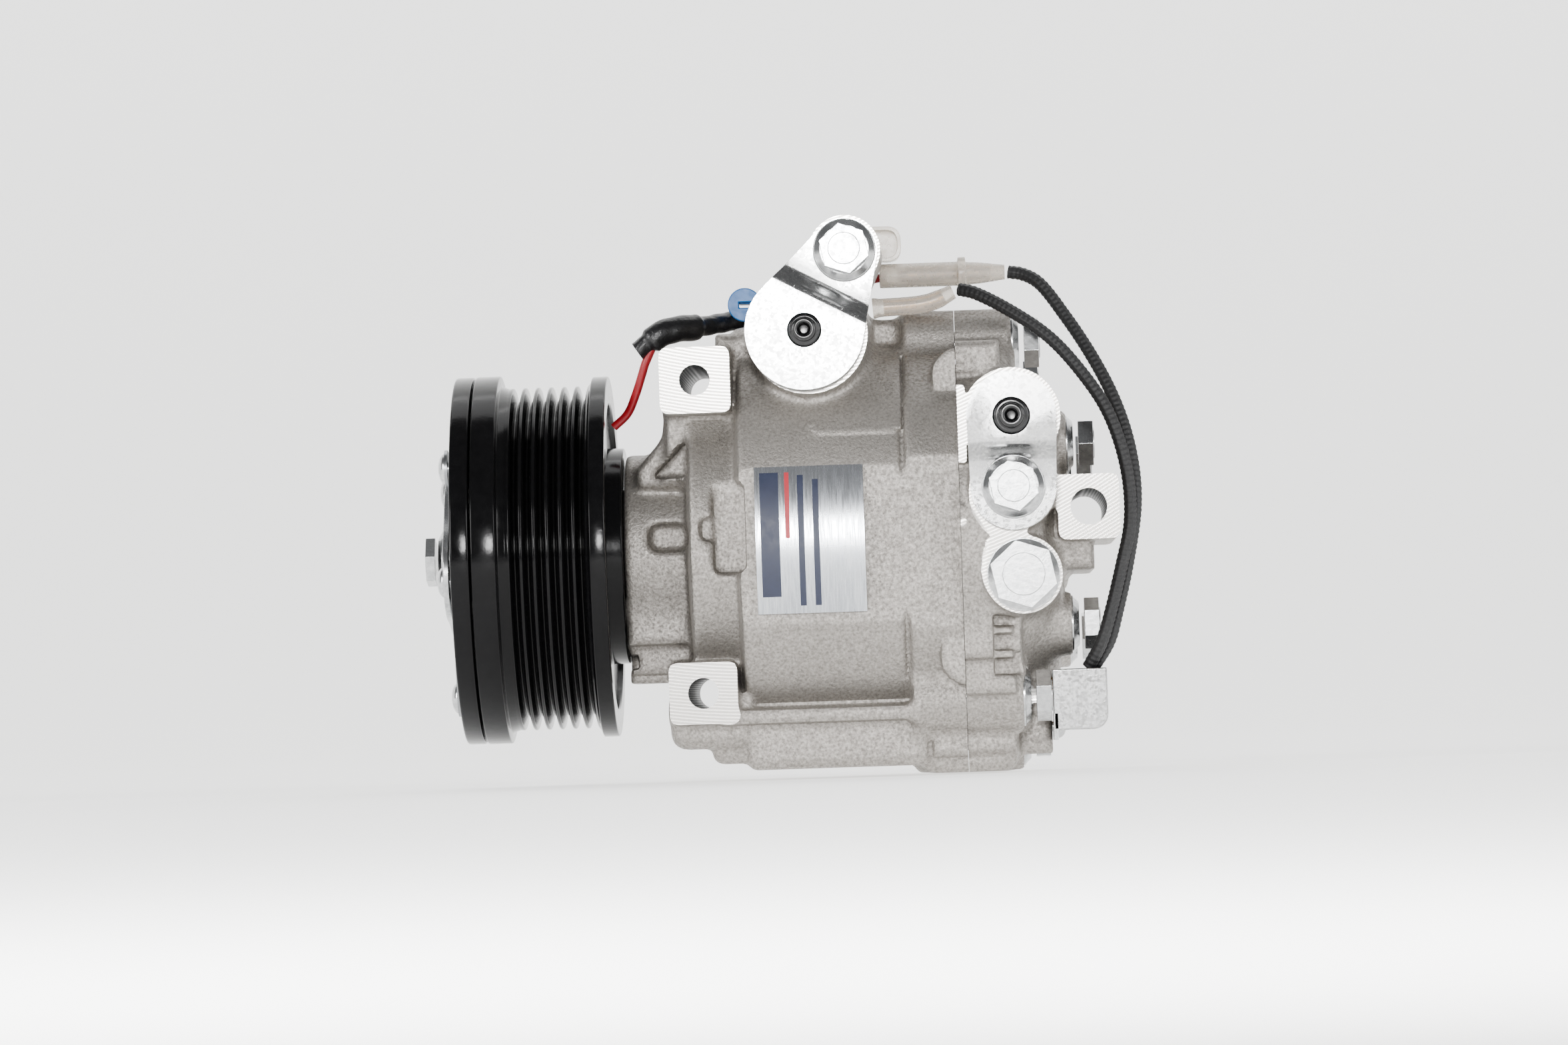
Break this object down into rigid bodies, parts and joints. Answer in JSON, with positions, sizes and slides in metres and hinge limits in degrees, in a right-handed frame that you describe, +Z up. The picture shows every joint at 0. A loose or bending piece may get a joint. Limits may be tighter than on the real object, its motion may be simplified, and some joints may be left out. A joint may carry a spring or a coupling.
{
  "type": "automotive ac compressor",
  "caption": "Belt-driven scroll air-conditioning compressor with an electromagnetic clutch, ribbed pulley, capped suction and discharge ports, and a thermal switch on braided leads.",
  "frame": {"origin": "on the shaft axis, in the mid-plane of the six belt grooves", "axes": "+X along the shaft from the clutch to the rear head, +Z up towards the suction port's bolt, -Y the way the ports and the ears' bolt heads face"},
  "size_m": [0.1955, 0.1333, 0.15],
  "materials": {
    "cast": "shot-blasted die casting, machined on the ears and port pads",
    "zinc": "bright zinc plate",
    "bolt": "bright zinc plate",
    "rubber": "black moulded rubber",
    "switch_plastic": "black moulded plastic",
    "foil": "brushed silver foil with plain printed bars",
    "red_wire": "red wire insulation",
    "shrink_sleeve": "black heat-shrink sleeve",
    "blue_clip": "blue moulded clip",
    "vinyl": "milky clear vinyl boot",
    "braid": "black braided sleeving",
    "clutch_black": "black satin paint",
    "bearing_steel": "ground steel",
    "spring_steel": "cold-rolled spring steel",
    "winding": "enamelled copper wire",
    "scroll_aluminium": "machined aluminium"
  },
  "bodies": {
    "housing": {"front_housing": "cast", "rear_housing": "cast", "suction_cover": "zinc", "discharge_cover": "zinc", "relief_valve": "zinc", "switch_cover": "zinc", "housing_bolt_1": "bolt", "housing_bolt_2": "bolt", "housing_bolt_3": "bolt", "housing_bolt_4": "bolt", "housing_bolt_5": "bolt", "scroll_bolt_1": "bolt", "scroll_bolt_2": "bolt", "scroll_bolt_3": "bolt", "scroll_bolt_4": "bolt", "suction_cover_bolt": "bolt", "discharge_cover_bolt": "bolt", "cover_screw": "bolt", "housing_o_ring": "rubber", "suction_plug": "rubber", "discharge_plug": "rubber", "shaft_seal": "rubber", "thermal_switch": "switch_plastic", "rating_label": "foil", "coil_lead": "red_wire", "lead_sleeve": "shrink_sleeve", "harness_clip": "blue_clip", "connector_upper": "vinyl", "connector_lower": "vinyl", "harness_boot": "vinyl", "switch_lead_upper": "braid", "switch_lead_lower": "braid", "coil_shell": "clutch_black", "pulley_bearing_inner": "bearing_steel", "main_bearing_outer": "bearing_steel", "front_bearing": "bearing_steel", "anti_rotation_pin_1": "bearing_steel", "anti_rotation_pin_2": "bearing_steel", "anti_rotation_pin_3": "bearing_steel", "bearing_snap_ring": "spring_steel", "thrust_plate": "spring_steel", "valve_retainer": "spring_steel", "coil_winding": "winding", "fixed_scroll": "scroll_aluminium"},
    "pulley": {"pulley": "clutch_black", "pulley_bearing_outer": "bearing_steel"},
    "pulley_bearing_cage": {"pulley_bearing_balls": "bearing_steel"},
    "drive_shaft": {"shaft": "bearing_steel", "clutch_hub": "clutch_black", "hub_bolt": "bolt", "leaf_spring_1": "spring_steel", "leaf_spring_2": "spring_steel", "leaf_spring_3": "spring_steel", "main_bearing_inner": "bearing_steel", "drive_bush": "scroll_aluminium"},
    "main_bearing_cage": {"main_bearing_balls": "bearing_steel"},
    "armature": {"armature_plate": "clutch_black"},
    "moving_scroll": {"orbiting_scroll": "scroll_aluminium", "drive_bearing": "bearing_steel"},
    "reed": {"reed_valve": "spring_steel"}
  },
  "joints": [
    {"name": "pulley_spin", "type": "hinge", "parent": "housing", "child": "pulley", "pos_m": [0, 0, 0], "axis": [1, 0, 0], "continuous": true},
    {"name": "pulley_cage_spin", "type": "hinge", "parent": "housing", "child": "pulley_bearing_cage", "pos_m": [0, 0, 0], "axis": [1, 0, 0], "continuous": true},
    {"name": "shaft_spin", "type": "hinge", "parent": "housing", "child": "drive_shaft", "pos_m": [0.05, 0, 0], "axis": [1, 0, 0], "continuous": true},
    {"name": "main_cage_spin", "type": "hinge", "parent": "housing", "child": "main_bearing_cage", "pos_m": [0.053, 0, 0], "axis": [1, 0, 0], "continuous": true},
    {"name": "armature_pull", "type": "slide", "parent": "drive_shaft", "child": "armature", "axis": [1, 0, 0], "range_m": [0, 0.0004], "stiffness_N_per_m": 4000},
    {"name": "scroll_orbit", "type": "hinge", "parent": "drive_shaft", "child": "moving_scroll", "pos_m": [0.073, 0, 0.0041], "axis": [1, 0, 0], "continuous": true},
    {"name": "reed_lift", "type": "hinge", "parent": "housing", "child": "reed", "pos_m": [0.11685, 0, -0.0106], "axis": [0, 1, 0], "range_deg": [0, 8], "stiffness_Nm_per_rad": 0.02}
  ],
  "couplings": [
    {"joint": "pulley_cage_spin", "follows": "pulley_spin", "ratio": 0.5688},
    {"joint": "main_cage_spin", "follows": "shaft_spin", "ratio": 0.4158},
    {"joint": "scroll_orbit", "follows": "shaft_spin", "ratio": -1}
  ]
}
